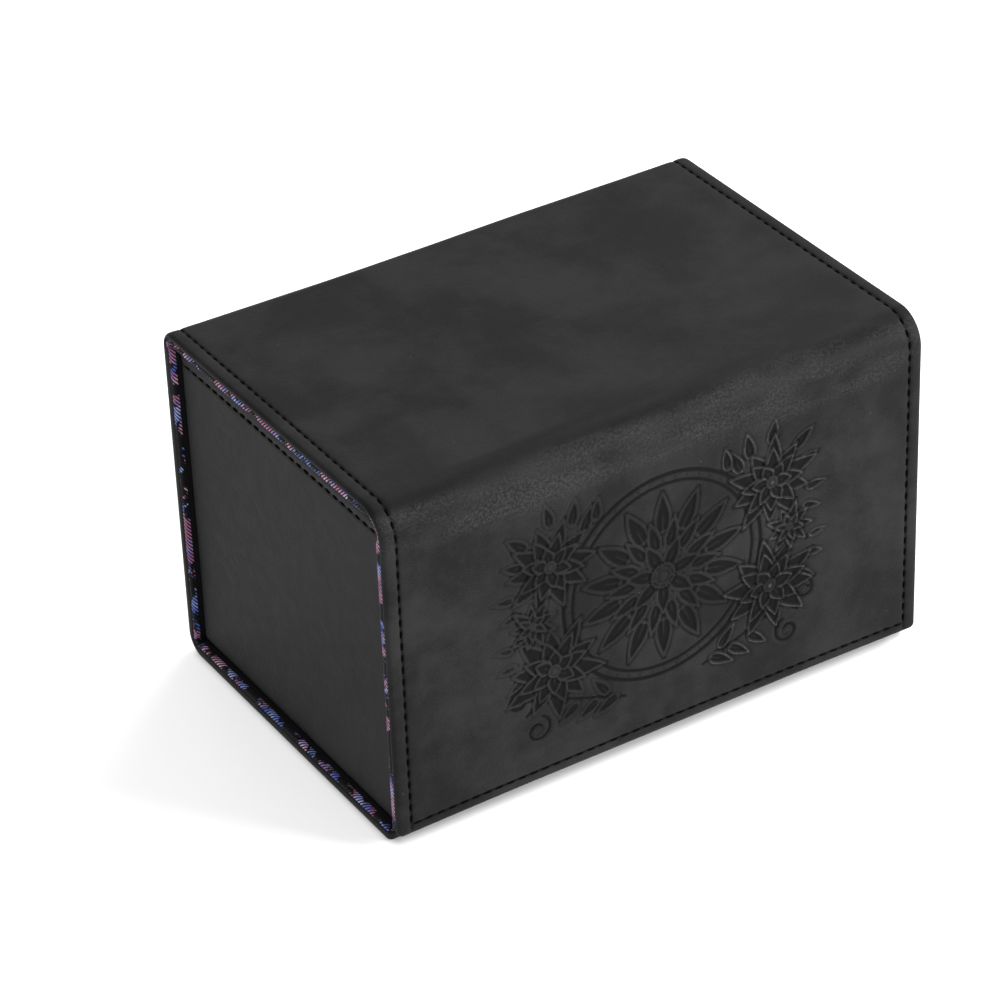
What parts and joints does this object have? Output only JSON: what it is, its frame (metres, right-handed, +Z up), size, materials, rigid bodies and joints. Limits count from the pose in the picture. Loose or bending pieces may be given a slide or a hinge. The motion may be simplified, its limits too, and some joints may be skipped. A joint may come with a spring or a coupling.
{
  "type": "card deck box",
  "caption": "Upright box for sleeved playing cards: a stiffened leather cover wraps bottom, back, lid and magnetic front flap round an open tray with a divider.",
  "frame": {"origin": "centre of the closed box's footprint, on the surface it stands on", "axes": "+Z up, X along the hinge lines, -Y towards the flap at the front"},
  "size_m": [0.161, 0.109, 0.1],
  "materials": {
    "leather": "soft matt grain, slightly waxy",
    "lining": "fine twill with a printed pattern of soft pink and blue patches on black",
    "board": "plain grey board",
    "thread": "black bonded thread",
    "magnet": "bright nickel plate"
  },
  "bodies": {
    "base": {"bottom_leather": "leather", "heel_leather": "leather", "back_leather": "leather", "bottom_board": "board", "back_board": "board", "base_lining": "lining", "bottom_stitching": "thread", "back_stitching": "thread", "tray_left_leather": "leather", "tray_right_leather": "leather", "tray_front_leather": "leather", "tray_left_board": "board", "tray_right_board": "board", "tray_front_board": "board", "tray_back_board": "board", "tray_lining": "lining", "tray_left_stitching": "thread", "tray_right_stitching": "thread", "tray_left_magnet": "magnet", "tray_right_magnet": "magnet"},
    "lid": {"rear_fold_leather": "leather", "rear_fold_lining": "lining", "lid_leather": "leather", "lid_board": "board", "lid_lining": "lining", "lid_stitching": "thread"},
    "flap": {"front_fold_leather": "leather", "front_fold_lining": "lining", "flap_leather": "leather", "flap_board": "board", "flap_lining": "lining", "flap_stitching": "thread", "flap_left_magnet": "magnet", "flap_right_magnet": "magnet"},
    "divider": {"divider_board": "board", "divider_cloth": "lining"}
  },
  "joints": [
    {"name": "lid_hinge", "type": "hinge", "parent": "base", "child": "lid", "pos_m": [0, 0.053, 0.0985], "axis": [-1, 0, 0], "range_deg": [0, 175], "deforming": ["rear_fold_leather", "rear_fold_lining"]},
    {"name": "flap_hinge", "type": "hinge", "parent": "lid", "child": "flap", "pos_m": [0, -0.0521, 0.0976], "axis": [-1, 0, 0], "range_deg": [0, 175], "deforming": ["front_fold_leather", "front_fold_lining"]},
    {"name": "divider_slide", "type": "slide", "parent": "base", "child": "divider", "axis": [1, 0, 0], "range_m": [-0.025, 0.025]}
  ]
}
